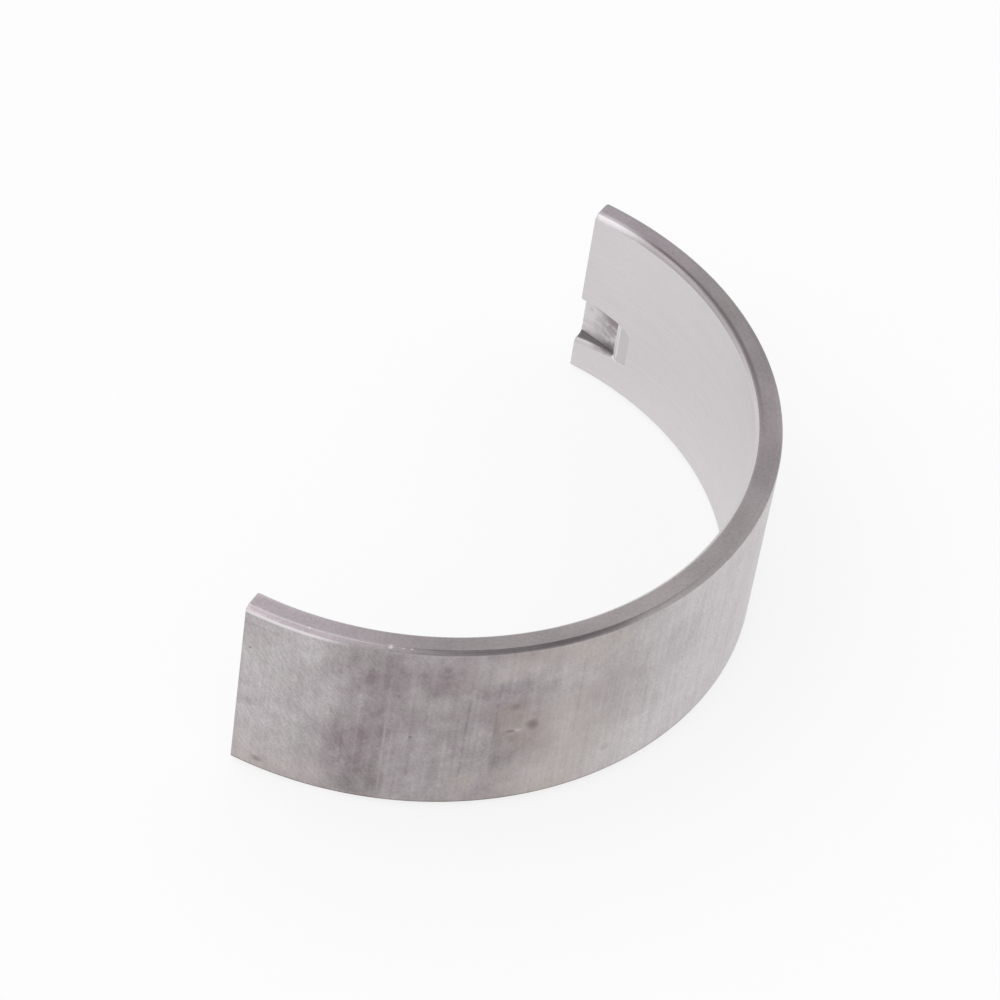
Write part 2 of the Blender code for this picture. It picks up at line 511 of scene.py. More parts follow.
def combine(target, tool, operation):
    """Join or cut the target with a tool, then remove the tool."""
    modifier = target.modifiers.new(tool.name, "BOOLEAN")
    modifier.operation = operation
    modifier.solver = "EXACT"
    modifier.object = tool
    evaluated = target.evaluated_get(bpy.context.evaluated_depsgraph_get())
    joined = bpy.data.meshes.new_from_object(evaluated)
    target.modifiers.clear()
    target.data = joined
    bpy.data.objects.remove(tool, do_unlink=True)


def strip_corners(sizes, layout):
    """The strip's cross-section with its four chamfers, each corner a little rounded."""
    bore = layout.bore
    back = layout.back
    top = layout.width
    broken = sizes.edge_break
    return [
        (bore, sizes.lower_bore_chamfer, broken),
        (bore + sizes.lower_bore_chamfer, 0.0, broken),
        (back - sizes.back_chamfer, 0.0, broken),
        (back, sizes.lower_back_rise, broken),
        (back, top - sizes.back_rise, sizes.back_corner),
        (back - sizes.back_chamfer, top, broken),
        (bore + sizes.bore_chamfer, top, broken),
        (bore, top - sizes.bore_chamfer, broken),
    ]


def make_strip(sizes, layout):
    """Spin the section from one parting face to the other and break the end edges."""
    bm = bmesh.new()
    section = add_section(bm, strip_corners(sizes, layout), layout.plain_end)
    bmesh.ops.spin(
        bm,
        geom=[section],
        cent=(0.0, 0.0, 0.0),
        axis=(0.0, 0.0, 1.0),
        angle=layout.arc,
        steps=math.ceil(layout.arc / sizes.facet),
        use_duplicate=False,
    )
    # Only the two end faces have more than four corners
    ends = [face for face in bm.faces if len(face.verts) > 4]
    ends.sort(key=lambda face: face.calc_center_median().x)
    for end, rounding in zip(ends, (sizes.edge_break, sizes.plain_break)):
        bmesh.ops.bevel(
            bm,
            geom=end.edges[:],
            offset=rounding,
            offset_type="OFFSET",
            segments=ROUNDING_STEPS,
            profile=0.5,
            affect="EDGES",
            material=-1,
        )
    return add_mesh_object(SHELL_NODE + "_dressed", bm, layout)


def along_strip(layout, distance):
    """The angle of a place on the bore, a distance in from the tang's parting face."""
    return layout.tang_end - distance / layout.bore


def pressed_height(sizes, distance):
    """How far the tang is pressed out, a distance in from the parting face."""
    fall = (sizes.tang_height - sizes.tang_heel) / sizes.tang_length
    return sizes.tang_height - fall * distance


def tang_corners(sizes, layout, height):
    """Cross-section of the tang on the back, rooted in the wall."""
    low = sizes.tang_centre - sizes.tang_width / 2
    high = sizes.tang_centre + sizes.tang_width / 2
    crest = layout.back + height
    root = layout.back - 2 * sizes.tang_heel - sizes.tang_corner
    return [
        (root, low, 0.0),
        (root, high, 0.0),
        (crest, high, sizes.tang_corner),
        (crest, low, sizes.tang_corner),
    ]


def make_tang(sizes, layout):
    """The tang that stands out of the back, from its end face to behind its heel."""
    distances = [sizes.tang_length * i / TANG_STEPS for i in range(TANG_STEPS + 1)]
    distances[0] = sizes.tang_setback
    stations = [
        (
            along_strip(layout, distance),
            tang_corners(sizes, layout, pressed_height(sizes, distance)),
        )
        for distance in distances
    ]
    sunk = along_strip(layout, sizes.tang_length + 2 * sizes.tang_run_out)
    stations.append((sunk, tang_corners(sizes, layout, -sizes.tang_heel)))
    bm = bmesh.new()
    sweep_sections(bm, stations)
    return add_mesh_object("tang_form", bm, layout)


def recess_corners(sizes, layout, depth, halves):
    """Cross-section of the punch: flat nose, steep shoulders and a rolled-over brim.

    The halves are how far the nose reaches below and above the tang's centre line.
    """
    lean = SHOULDER_LEAN * depth
    shoulder_depth = SHOULDER_SHARE * depth
    flare = (BRIM_LEAN - SHOULDER_LEAN) / SHOULDER_SHARE
    brim = lean + flare * (shoulder_depth + CLEAR_OF_METAL)
    profile = [
        (0.0, depth, FLOOR_ROUNDING * depth),
        (lean, shoulder_depth, SHOULDER_ROUNDING * depth),
        (brim, -CLEAR_OF_METAL, 0.0),
    ]
    low, high = (sizes.tang_centre - halves[0], sizes.tang_centre + halves[1])
    lower = [(layout.bore + d, low - out, rounding) for out, d, rounding in profile]
    upper = [(layout.bore + d, high + out, rounding) for out, d, rounding in profile]
    return lower[::-1] + upper


def make_punch(sizes, layout):
    """The punch that leaves the recess: sloping nose, stepped heel and shallow land."""
    nose = (sizes.nose_width / 2, sizes.nose_width / 2)
    wide = (nose[0] + sizes.land_drop, nose[1])
    cut = (wide[0], nose[1] - sizes.heel_corner)
    straight = sizes.tang_length - BEFORE_HEEL
    distances = [straight * i / RECESS_STEPS for i in range(RECESS_STEPS + 1)]
    distances.insert(0, -OVERRUN)
    profile = [(d, pressed_height(sizes, d), nose) for d in distances]
    heel = sizes.tang_heel
    land = sizes.heel_depth
    land_start = sizes.tang_length + sizes.heel_step
    land_end = land_start + sizes.heel_land
    fall = (heel - land) / sizes.heel_step
    profile += [
        (sizes.tang_length + PAST_HEEL, heel - PAST_HEEL * fall, nose),
        (land_start - BEFORE_LAND, land + BEFORE_LAND * fall, wide),
        (land_start, land + LAND_START_EXTRA, wide),
        (land_start + PAST_LAND, land, wide),
        (land_end - sizes.heel_corner, land, wide),
        (land_end, land, cut),
    ]
    stations = [
        (along_strip(layout, d), recess_corners(sizes, layout, depth, halves))
        for d, depth, halves in profile
    ]
    bm = bmesh.new()
    sweep_sections(bm, stations)
    return add_mesh_object("tang_punch", bm, layout)


def make_relief(sizes, layout, seed):
    """The block that sets the tang's end back, with the rough face that shearing leaves."""
    inner = layout.bore - OVERRUN
    outer = layout.back + sizes.tang_height + OVERRUN
    depth = 3 * OVERRUN
    height = sizes.tang_width + 2 * sizes.tang_relief
    bm = bmesh.new()
    bmesh.ops.create_cube(bm, size=1.0)
    bmesh.ops.scale(bm, vec=(outer - inner, depth, height), verts=bm.verts[:])
    middle = Vector(
        ((inner + outer) / 2, depth / 2 - sizes.tang_setback, sizes.tang_centre)
    )
    bmesh.ops.translate(bm, vec=middle, verts=bm.verts[:])
    face = min(bm.faces, key=lambda f: f.calc_center_median().y)
    bmesh.ops.subdivide_edges(
        bm, edges=face.edges[:], cuts=SHEAR_CUTS, use_grid_fill=True
    )
    rough = [vert for vert in bm.verts if vert.co.y < 0.0]
    draw = random.Random(seed)
    for vert in rough:
        vert.co.y += draw.uniform(-SHEAR_SWING, SHEAR_SWING) * MM
    turn_about_axis(bm, bm.verts[:], layout.tang_end)
    return add_mesh_object("tang_relief", bm, layout)


def make_nicks(layout):
    """Small faceted lumps that take nicks out of the upper edges and the tang's end."""
    places = [
        (math.radians(angle), radius * MM, layout.width, EDGE_NICK_SHAPE, size)
        for angle, radius, size in EDGE_NICKS
    ]
    places += [
        (layout.tang_end, layout.bore, height * MM, END_NICK_SHAPE, size)
        for height, size in END_NICKS
    ]
    bm = bmesh.new()
    for angle, radius, height, shape, size in places:
        known = set(bm.verts)
        bmesh.ops.create_icosphere(bm, subdivisions=1, radius=0.5 * size * MM)
        verts = [vert for vert in bm.verts if vert not in known]
        bmesh.ops.scale(bm, vec=shape, verts=verts)
        bmesh.ops.translate(bm, vec=(radius, 0.0, height), verts=verts)
        turn_about_axis(bm, verts, angle)
    return add_mesh_object("edge_nicks", bm, layout)


def finish_of(face, sizes, layout):
    """Which finish a face has, from its place and its direction on the strip."""
    centre = face.calc_center_median() - layout.axis
    angle = math.atan2(centre.y, centre.x)
    along = Vector((-math.sin(angle), math.cos(angle), 0.0))
    radius = math.hypot(centre.x, centre.y)
    to_side = min(centre.z, layout.width - centre.z)
    near_side = to_side < SIDE_REACH * sizes.bore_chamfer
    to_end = min(angle - layout.plain_end, layout.tang_end - angle) * radius
    near_end = to_end < END_REACH * sizes.tang_setback
    if abs(face.normal.dot(along)) > FACING and near_end:
        return PARTING
    if abs(face.normal.z) > FACING and near_side:
        return SIDE
    if radius < layout.bore + sizes.wall / 2:
        return LINING
    if face.normal.dot(centre) < 0.0:
        return LINING
    return BACK


def finish_mesh(shell, sizes, layout):
    """Merge doubles, give each face its finish, and shade the round stretches smooth."""
    bm = bmesh.new()
    bm.from_mesh(shell.data)
    bmesh.ops.remove_doubles(bm, verts=bm.verts[:], dist=MERGE_DISTANCE)
    bmesh.ops.dissolve_degenerate(bm, edges=bm.edges[:], dist=SHORTEST_EDGE)
    bmesh.ops.recalc_face_normals(bm, faces=bm.faces[:])
    for face in bm.faces:
        face.material_index = finish_of(face, sizes, layout)
    bm.to_mesh(shell.data)
    bm.free()
    shell.data.shade_smooth()
    shell.data.set_sharp_from_angle(angle=SHARP_ANGLE)
    weighted = shell.modifiers.new("flat_faces_lead", "WEIGHTED_NORMAL")
    weighted.mode = "FACE_AREA"
    weighted.weight = 50
    weighted.keep_sharp = True


def add_node(tree, kind, inputs=None, **settings):
    """Add one node with its settings and its inputs.

    An input is a value, a socket, or a node, whose first output in use is linked.
    """
    node = tree.nodes.new(kind)
    for name, value in settings.items():
        setattr(node, name, value)
    for name, value in (inputs or {}).items():
        if isinstance(value, bpy.types.Node):
            value = next(socket for socket in value.outputs if socket.enabled)
        if isinstance(value, bpy.types.NodeSocket):
            tree.links.new(value, node.inputs[name])
        else:
            node.inputs[name].default_value = value
    return node


def set_stops(ramp, stops):
    """Give a colour ramp its stops, as (position, linear colour) each."""
    elements = ramp.color_ramp.elements
    while len(elements) < len(stops):
        elements.new(1.0)
    for element, (position, rgb) in zip(elements, stops):
        element.position = position
        element.color = (*rgb, 1.0)


def metal(name, roughness):
    """A new metal material: its node tree, its shader, and itself."""
    material = bpy.data.materials.new(name)
    material.use_nodes = True
    tree = material.node_tree
    shader = tree.nodes["Principled BSDF"]
    shader.inputs["Metallic"].default_value = 1.0
    shader.inputs["Roughness"].default_value = roughness
    return material, tree, shader


def strip_places(tree, layout):
    """Places in millimetres: as they lie in the frame, and unrolled along the strip.

    Unrolled, X is the arc along the back, Y the radius and Z the height.
    """
    lies = add_node(tree, "ShaderNodeTexCoord").outputs["Object"]
    solid = add_node(
        tree,
        "ShaderNodeMapping",
        {"Vector": lies, "Location": -layout.axis / MM, "Scale": (1 / MM,) * 3},
        vector_type="POINT",
    )
    parts = add_node(tree, "ShaderNodeSeparateXYZ", {"Vector": solid}).outputs
    angle = add_node(
        tree, "ShaderNodeMath", {0: parts["Y"], 1: parts["X"]}, operation="ARCTAN2"
    )
    arc = add_node(
        tree, "ShaderNodeMath", {0: angle, 1: layout.back / MM}, operation="MULTIPLY"
    )
    level = add_node(
        tree, "ShaderNodeVectorMath", {0: solid, 1: (1, 1, 0)}, operation="MULTIPLY"
    )
    radius = add_node(tree, "ShaderNodeVectorMath", {0: level}, operation="LENGTH")
    unrolled = add_node(
        tree, "ShaderNodeCombineXYZ", {"X": arc, "Y": radius, "Z": parts["Z"]}
    )
    half_turn = add_node(
        tree, "ShaderNodeMath", {0: angle, 1: math.pi}, operation="DIVIDE"
    )
    return SimpleNamespace(
        solid=solid,
        unrolled=unrolled,
        angle=angle,
        half_turn=half_turn,
        radius=radius,
        height=parts["Z"],
    )


def mottling(tree, place, size, detail=3.0, roughness=0.5, turned=0.0):
    """An uneven pattern from -1 to 1, with patches of a size (x, y, z) in millimetres."""
    stretched = add_node(
        tree,
        "ShaderNodeMapping",
        {"Vector": place, "Rotation": (0.0, turned, 0.0), "Scale": size},
        vector_type="TEXTURE",
    )
    noise = add_node(
        tree,
        "ShaderNodeTexNoise",
        {"Vector": stretched, "Scale": 1.0, "Detail": detail, "Roughness": roughness},
    )
    return add_node(
        tree,
        "ShaderNodeMapRange",
        {"Value": noise, "From Min": NOISE_LOW, "From Max": NOISE_HIGH, "To Min": -1.0},
        interpolation_type="SMOOTHSTEP",
    )


def spot(tree, strip, centre, halves):
    """A mask round a place on the unrolled strip: 1 at its middle, 0 past its rim."""
    moved = add_node(
        tree,
        "ShaderNodeVectorMath",
        {0: strip.unrolled, 1: centre},
        operation="SUBTRACT",
    )
    sized = add_node(
        tree, "ShaderNodeVectorMath", {0: moved, 1: halves}, operation="DIVIDE"
    )
    distance = add_node(tree, "ShaderNodeVectorMath", {0: sized}, operation="LENGTH")
    return add_node(
        tree,
        "ShaderNodeMapRange",
        {"Value": distance, "From Min": SPOT_RIM, "From Max": SPOT_CORE},
        interpolation_type="SMOOTHSTEP",
    )


def shade_colour(tree, rgb, patterns):
    """A colour made lighter and darker by patterns, from (pattern, swing) for each."""
    tone = 1.0
    for pattern, swing in patterns:
        tone = add_node(
            tree,
            "ShaderNodeMath",
            {0: pattern, 1: swing, 2: tone},
            operation="MULTIPLY_ADD",
        )
    return add_node(
        tree, "ShaderNodeVectorMath", {0: rgb, "Scale": tone}, operation="SCALE"
    )


def lay_colours(tree, surface, layers):
    """Lay colours over a surface, from (masks to multiply, strength, colour) for each."""
    for masks, strength, rgb in layers:
        share = strength
        for mask in masks:
            share = add_node(
                tree, "ShaderNodeMath", {0: mask, 1: share}, operation="MULTIPLY"
            )
        surface = add_node(
            tree,
            "ShaderNodeMix",
            {"Factor": share, MIX_A: surface, MIX_B: (*rgb, 1.0)},
            data_type="RGBA",
        )
    return surface


def finish_metal(tree, shader, surface, relief, depth, gloss=None):
    """Link a metal's colour, its relief and its gloss.

    The relief is a pattern whose depth is in metres. The gloss is (pattern, swing, middle)
    for the roughness, or none where that is even.
    """
    sockets = shader.inputs
    colour_out = next(socket for socket in surface.outputs if socket.enabled)
    tree.links.new(colour_out, sockets["Base Color"])
    raised = add_node(tree, "ShaderNodeBump", {"Height": relief, "Distance": depth})
    tree.links.new(raised.outputs["Normal"], sockets["Normal"])
    if gloss:
        pattern, swing, middle = gloss
        rough = add_node(
            tree,
            "ShaderNodeMath",
            {0: pattern, 1: swing, 2: middle},
            operation="MULTIPLY_ADD",
        )
        tree.links.new(rough.outputs["Value"], sockets["Roughness"])


def bored_lining(colours, sizes, layout):
    """Fine-bored tin-aluminium lining: a pale, even satin with faint rings from the tool.

    The recess in it is stained by oil, darker towards its heel. Painted shade darkens its
    lower wall, its lower corner and a little of its lower side, and a painted highlight lies
    on the slope of its heel.
    """
    material, tree, shader = metal("bored_tin_aluminium_lining", 0.42)
    strip = strip_places(tree, layout)
    # Rings left by the boring tool, and the grain, both coarser than real so that they show
    rings = mottling(tree, strip.unrolled, (14.0, 1.0, 0.22), detail=2.0)
    clouds = mottling(tree, strip.unrolled, (7.0, 1.0, 5.0))
    grain = mottling(tree, strip.solid, (0.22, 0.22, 0.22), detail=1.0)
    blots = mottling(tree, strip.unrolled, (1.3, 1.0, 0.9), detail=4.0, roughness=0.6)
    surface = shade_colour(
        tree, colours.lining, ((rings, 0.015), (clouds, 0.02), (grain, 0.014))
    )
    bore = layout.bore / MM
    inward = add_node(
        tree,
        "ShaderNodeMath",
        {0: strip.angle, 1: -bore, 2: layout.tang_end * bore},
        operation="MULTIPLY_ADD",
    )
    heel = sizes.tang_length / MM
    land = heel + sizes.heel_step / MM
    low_edge = (sizes.tang_centre - sizes.nose_width / 2) / MM
    high_edge = (sizes.tang_centre + sizes.nose_width / 2) / MM
    # Each mask rises from 0 to 1 between two values, in millimetres but for the blots
    mask = {}
    for name, (value, start, end) in {
        "recess": (strip.radius, bore + 0.008, bore + 0.045),
        "deep": (strip.radius, bore + 0.26, bore + 0.38),
        "floor": (inward, heel + 0.02, heel - 0.12),
        "inner": (inward, 1.0, 3.5),
        "heel": (inward, heel - 0.12, heel + 0.02),
        "before_land": (inward, land + 0.12, land - 0.02),
        "land": (inward, land - 0.02, land + 0.12),
        "low_side": (strip.height, low_edge + 0.22, low_edge + 0.1),
        "off_low_side": (strip.height, low_edge - 0.05, low_edge + 0.2),
        "low_corner": (strip.height, low_edge + 1.6, low_edge + 0.3),
        "past_brim": (strip.radius, bore + 0.08, bore + 0.2),
        "high_corner": (strip.height, high_edge - 1.7, high_edge - 0.5),
        "blotched": (blots, -1.0, 0.5),
        "spotted": (blots, 0.3, 0.9),
    }.items():
        mask[name] = add_node(
            tree,
            "ShaderNodeMapRange",
            {"Value": value, "From Min": start, "From Max": end},
            interpolation_type="SMOOTHSTEP",
        )
    on_floor = (mask["recess"], mask["floor"])
    in_low_corner = (mask["past_brim"], mask["floor"], mask["inner"], mask["low_corner"])
    on_wall = (mask["deep"], mask["floor"], mask["low_side"])
    on_heel = (mask["recess"], mask["heel"], mask["before_land"], mask["off_low_side"])
    surface = lay_colours(
        tree,
        surface,
        (
            ((*on_floor, mask["inner"], mask["blotched"]), 0.58, colours.recess_stain_and_shade),
            ((*on_floor, mask["spotted"]), 0.22, colours.recess_stain_and_shade),
            ((*on_floor, mask["inner"], mask["high_corner"]), 0.6, colours.recess_stain_and_shade),
            # Painted shade in the floor's lower corner, next to the lower wall
            (in_low_corner, 0.8, colours.recess_wall_shade),
            # Painted highlight on the slope of the heel
            (on_heel, 1.0, colours.fresh_and_highlight),
            ((mask["recess"], mask["land"]), 0.17, colours.recess_stain_and_shade),
            # Painted shade along the floor's lower side, beside the lower wall
            ((mask["recess"], mask["floor"], mask["low_side"]), 0.2, colours.recess_stain_and_shade),
            # Painted shade: the lower wall darkened as if in shadow
            (on_wall, 1.0, colours.recess_wall_shade),
        ),
    )
    gloss = (clouds, 0.03, 0.42)
    finish_metal(tree, shader, surface, rings, depth=0.3e-6, gloss=gloss)
    return material


def ground_side(colours, sizes, layout):
    """Ground steel side faces: mid grey satin with fine lines that follow the strip.

    They are lighter near the plain end, and an olive film dulls parts of them. The
    lining shows as a pale band on the bore chamfer, with a thin dark bond line beside it,
    darkest towards the tang. Painted shade darkens the bore chamfer towards the tang and
    stretches of the outer chamfer, and painted highlights run along edges near both ends.
    """
    material, tree, shader = metal("ground_steel_side", 0.28)
    strip = strip_places(tree, layout)
    # Grinding lines and grain, coarser than real so that they show
    lines = mottling(tree, strip.unrolled, (9.0, 0.12, 0.5), roughness=0.6)
    grain = mottling(tree, strip.solid, (0.28, 0.28, 0.28), detail=2.0)
    clouds = mottling(tree, strip.unrolled, (5.0, 2.5, 2.5), detail=4.0)
    along = add_node(tree, "ShaderNodeValToRGB", {"Fac": strip.half_turn})
    steel = Vector(colours.side)
    film = Vector(colours.side_film)
    stops = [(place, steel.lerp(film, share) * tone) for place, tone, share in SIDE_ALONG]
    set_stops(along, stops)
    surface = shade_colour(
        tree, along, ((lines, 0.022), (grain, 0.06), (clouds, 0.07))
    )
    bond = (layout.bore + sizes.lining) / MM
    edge = (layout.bore + sizes.bore_chamfer) / MM
    outer = (layout.back - sizes.back_chamfer) / MM
    # Each mask rises from 0 to 1 between two radii in mm, or two shares of the half turn
    mask = {}
    for name, (value, start, end) in {
        "lining": (strip.radius, bond + 0.03, bond - 0.03),
        "chamfer": (strip.radius, edge + 0.02, edge - 0.06),
        "past_edge": (strip.radius, edge - 0.14, edge + 0.04),
        "near_edge": (strip.radius, edge + 0.42, edge + 0.12),
        "by_edge": (strip.radius, edge + 0.5, edge),
        "outer": (strip.radius, outer - 0.06, outer + 0.04),
        "before_outer": (strip.radius, outer - 0.14, outer - 0.04),
        "past_outer": (strip.radius, outer + 0.14, outer + 0.04),
        "near_plain": (strip.half_turn, 0.18, 0.10),
        "at_plain": (strip.half_turn, 0.12, 0.02),
        "far_outer": (strip.half_turn, 0.68, 0.78),
        "outer_from": (strip.half_turn, 0.24, 0.29),
        "outer_to": (strip.half_turn, 0.38, 0.33),
        "by_tang": (strip.half_turn, 0.90, 0.95),
        "to_tang": (strip.half_turn, 0.62, 0.76),
        "shaded_half": (strip.half_turn, 0.66, 0.83),
        "from_tang": (strip.half_turn, 0.975, 0.90),
        "at_tang": (strip.half_turn, 0.91, 0.97),
    }.items():
        mask[name] = add_node(
            tree,
            "ShaderNodeMapRange",
            {"Value": value, "From Min": start, "From Max": end},
            interpolation_type="SMOOTHSTEP",
        )
    dark_stretch = (mask["to_tang"], mask["from_tang"])
    on_bond = (mask["past_edge"], mask["near_edge"])
    on_outer_edge = (mask["before_outer"], mask["past_outer"])
    layers = [
        ((mask["lining"],), 1.0, colours.lining),
        ((mask["lining"],), 0.1, colours.bond),
        # Painted shade over the lining's part of the bore chamfer
        ((mask["lining"], mask["shaded_half"]), 0.5, colours.bond),
        # Painted shade over the bore chamfer next to the tang
        ((mask["chamfer"], mask["by_tang"]), 0.42, colours.bond),
        ((*on_bond, *dark_stretch), 0.8, colours.bond),
        # Painted shade: dark stretches of the outer chamfer, in the bond colour
        ((mask["outer"], mask["outer_from"], mask["outer_to"]), 0.4, colours.bond),
        ((mask["outer"], mask["far_outer"]), 0.5, colours.bond),
        # Lighter by the inner edge near the plain end
        ((mask["by_edge"], mask["at_plain"]), 0.15, colours.fresh_and_highlight),
        # Painted highlight along the outer chamfer's upper edge near the plain end
        ((*on_outer_edge, mask["near_plain"]), 0.3, colours.fresh_and_highlight),
        # Painted highlight on the burr along the inner edge by the tang's end
        ((mask["by_edge"], mask["at_tang"]), 0.5, colours.fresh_and_highlight),
    ]
    # Each nick bares fresh metal round itself, painted bright as a glint
    for angle, radius, size in EDGE_NICKS:
        centre = (math.radians(angle) * layout.back / MM, radius, layout.width / MM)
        halves = tuple(share * size for share in BARED_GLINT_SHAPE)
        bared_glint = spot(tree, strip, centre, halves)
        layers.append(((bared_glint,), 0.9, colours.fresh_and_highlight))
    surface = lay_colours(tree, surface, layers)
    gloss = (lines, 0.035, 0.285)
    finish_metal(tree, shader, surface, lines, depth=0.2e-6, gloss=gloss)
    return material


def tarnish_amount(tree, strip, layout, patterns):
    """How tarnished the back is, from its place along the strip, patterns and stains.

    The patterns come as (pattern, swing) each, and swing it less where there is little.
    """
    along = add_node(tree, "ShaderNodeValToRGB", {"Fac": strip.half_turn})
    set_stops(along, [(place, (amount,) * 3) for place, amount in TARNISH_ALONG])
    uneven = 0.0
    for pattern, swing in patterns:
        uneven = add_node(
            tree,
            "ShaderNodeMath",
            {0: pattern, 1: swing, 2: uneven},
            operation="MULTIPLY_ADD",
        )
    spread = add_node(
        tree, "ShaderNodeMath", {0: along, 1: BARE_SPREAD}, operation="ADD"
    )
    amount = add_node(
        tree,
        "ShaderNodeMath",
        {0: uneven, 1: spread, 2: along},
        operation="MULTIPLY_ADD",
    )
    back = layout.back / MM
    for angle, height, half_arc, half_height, strength in BACK_STAINS:
        centre = (math.radians(angle) * back, back, height)
        stain = spot(tree, strip, centre, (half_arc, half_arc, half_height))
        amount = add_node(
            tree,
            "ShaderNodeMath",
            {0: stain, 1: strength, 2: amount},
            operation="MULTIPLY_ADD",
            use_clamp=True,
        )
    return amount


def back_marks(tree, strip, layout, colours, broken):
    """Layers for the marks and the score lines on the back; a mask breaks the lines."""
    back = layout.back / MM
    marks = [(*mark, ()) for mark in BACK_MARKS]
    lines = [
        (angle, height, SCORE_HALF, half_height, strength, (broken,))
        for angle, height, half_height, strength in BACK_SCORES
    ]
    layers = []
    for angle, height, half_arc, half_height, strength, masks in marks + lines:
        centre = (math.radians(angle) * back, back, height)
        marked = spot(tree, strip, centre, (half_arc, 1.0, half_height))
        rgb = colours.mark if strength > 0 else colours.fresh_and_highlight
        layers.append(((marked, *masks), abs(strength), rgb))
    return layers


def steel_back(colours, layout):
    """Rolled steel back, brushed across its width, tarnished near the plain end.

    Clean metal is a pale grey satin. The tarnish is a mottled purple and olive grey, with
    a thin straw film past it. Over both lie streaks across the strip, a fine slanting hatch
    near the end, pits and handling marks. A painted highlight runs along the top edge near
    the plain end, and a painted shadow along the bottom edge.
    """
    material, tree, shader = metal("tarnished_steel_back", 0.40)
    strip = strip_places(tree, layout)
    clouds = mottling(
        tree, strip.unrolled, (5.0, 9.0, 6.0), detail=5.0, roughness=0.55
    )
    mottle = mottling(
        tree, strip.unrolled, (1.7, 2.2, 2.0), detail=4.0, roughness=0.65
    )
    tints = mottling(tree, strip.unrolled, (4.0, 4.0, 5.0), detail=4.0, roughness=0.6)
    films = mottling(tree, strip.unrolled, (6.0, 4.0, 4.0), detail=3.0, roughness=0.5)
    # Brushed streaks, grain and hatch, coarser than real so that they show
    streaks = mottling(tree, strip.unrolled, (0.3, 1.0, 9.0))
    broad_streaks = mottling(tree, strip.unrolled, (1.1, 1.0, 13.0))
    grain = mottling(tree, strip.solid, (0.22, 0.22, 0.22), detail=2.0)
    hatch = mottling(
        tree,
        strip.unrolled,
        (0.17, 1.0, 1.3),
        roughness=0.6,
        turned=math.radians(-34),
    )
    patterns = ((clouds, 0.07), (mottle, 0.09), (broad_streaks, 0.04))
    amount = tarnish_amount(tree, strip, layout, patterns)
    top = layout.width / MM
    # Pits: a cell of 2 mm holds a pit only where its random colour is high
    cells = add_node(
        tree,
        "ShaderNodeTexVoronoi",
        {"Vector": strip.solid, "Scale": 0.5},
        feature="F1",
    )
    chance = add_node(
        tree, "ShaderNodeSeparateColor", {"Color": cells.outputs["Color"]}
    )
    # Each mask rises from 0 to 1 between two values: of a pattern, an angle or a height
    mask = {}
    for name, (value, start, end) in {
        "tint": (tints, -0.3, 0.9),
        "broken": (mottle, -0.9, 0.5),
        "near_end": (strip.angle, 0.55, 0.15),
        "straw_in": (strip.angle, 0.52, 0.85),
        "straw_out": (strip.angle, 1.30, 0.95),
        "straw_film": (films, -1.2, 0.5),
        "low_half": (strip.height, 6.5, 1.5),
        "end_patch": (strip.angle, 0.36, 0.24),
        "pit": (cells.outputs["Distance"], 0.06, 0.03),
        "chosen": (chance.outputs["Red"], 0.8, 0.82),
        "top_edge": (strip.height, top - 0.6, top - 0.42),
        "low_edge": (strip.height, 0.78, 0.55),
        "highlit_near_plain": (strip.angle, 0.36, 0.2),
    }.items():
        mask[name] = add_node(
            tree,
            "ShaderNodeMapRange",
            {"Value": value, "From Min": start, "From Max": end},
            interpolation_type="SMOOTHSTEP",
        )
    film = add_node(
        tree,
        "ShaderNodeMix",
        {
            "Factor": mask["tint"],
            MIX_A: (*colours.tarnish, 1.0),
            MIX_B: (*colours.olive, 1.0),
        },
        data_type="RGBA",
    )
    surface = add_node(
        tree,
        "ShaderNodeMix",
        {"Factor": amount, MIX_A: (*colours.clean_back, 1.0), MIX_B: film},
        data_type="RGBA",
    )
    end_hatch = add_node(
        tree, "ShaderNodeMath", {0: hatch, 1: mask["near_end"]}, operation="MULTIPLY"
    )
    surface = shade_colour(
        tree,
        surface,
        ((streaks, 0.045), (grain, 0.07), (hatch, 0.035), (end_hatch, 0.07)),
    )
    straw_stretch = (mask["straw_in"], mask["straw_out"])
    layers = [
        ((*straw_stretch, mask["straw_film"]), 0.40, colours.straw),
        ((mask["low_half"], mask["end_patch"]), 0.28, colours.straw),
        ((mask["pit"], mask["chosen"]), 0.5, colours.mark),
        # Painted highlight along the top edge near the plain end
        ((mask["top_edge"], mask["highlit_near_plain"]), 0.7, colours.fresh_and_highlight),
        # Painted shadow: a dark contact line along the back's bottom edge
        ((mask["low_edge"],), 0.5, colours.mark),
        *back_marks(tree, strip, layout, colours, mask["broken"]),
    ]
    surface = lay_colours(tree, surface, layers)
    relief = add_node(tree, "ShaderNodeMath", {0: streaks, 1: hatch}, operation="ADD")
    gloss = (amount, 0.10, 0.36)
    finish_metal(tree, shader, surface, relief, depth=0.6e-6, gloss=gloss)
    return material


